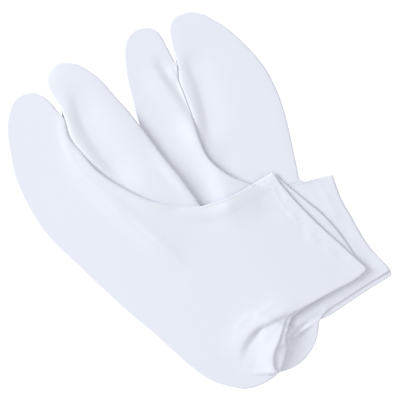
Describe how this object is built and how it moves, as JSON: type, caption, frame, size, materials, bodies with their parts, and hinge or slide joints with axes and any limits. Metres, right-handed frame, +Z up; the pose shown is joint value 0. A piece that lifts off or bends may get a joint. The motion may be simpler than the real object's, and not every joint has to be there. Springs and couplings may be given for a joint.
{
  "type": "pair of tabi covers",
  "caption": "Pair of split-toe stretch tabi covers in plain white knit, laid flat with the ankles folded aside and the left cover lying over the right one.",
  "frame": {"origin": "middle of the pair's footprint, on the surface that the pair lies on", "axes": "+Z up from that surface, +Y towards the toes, +X towards the side that the ankles are folded to"},
  "size_m": [0.243, 0.238, 0.011],
  "materials": {
    "upper_cloth": "smooth matte stretch knit, bluish white",
    "sole_cloth": "matte stretch knit, bluish white"
  },
  "bodies": {
    "root": {"right_sole": "sole_cloth", "right_outer_upper": "upper_cloth", "right_inner_upper": "upper_cloth", "left_sole": "sole_cloth", "left_inner_upper": "upper_cloth", "left_inner_upper_heel": "upper_cloth", "left_outer_upper": "upper_cloth"}
  },
  "joints": []
}
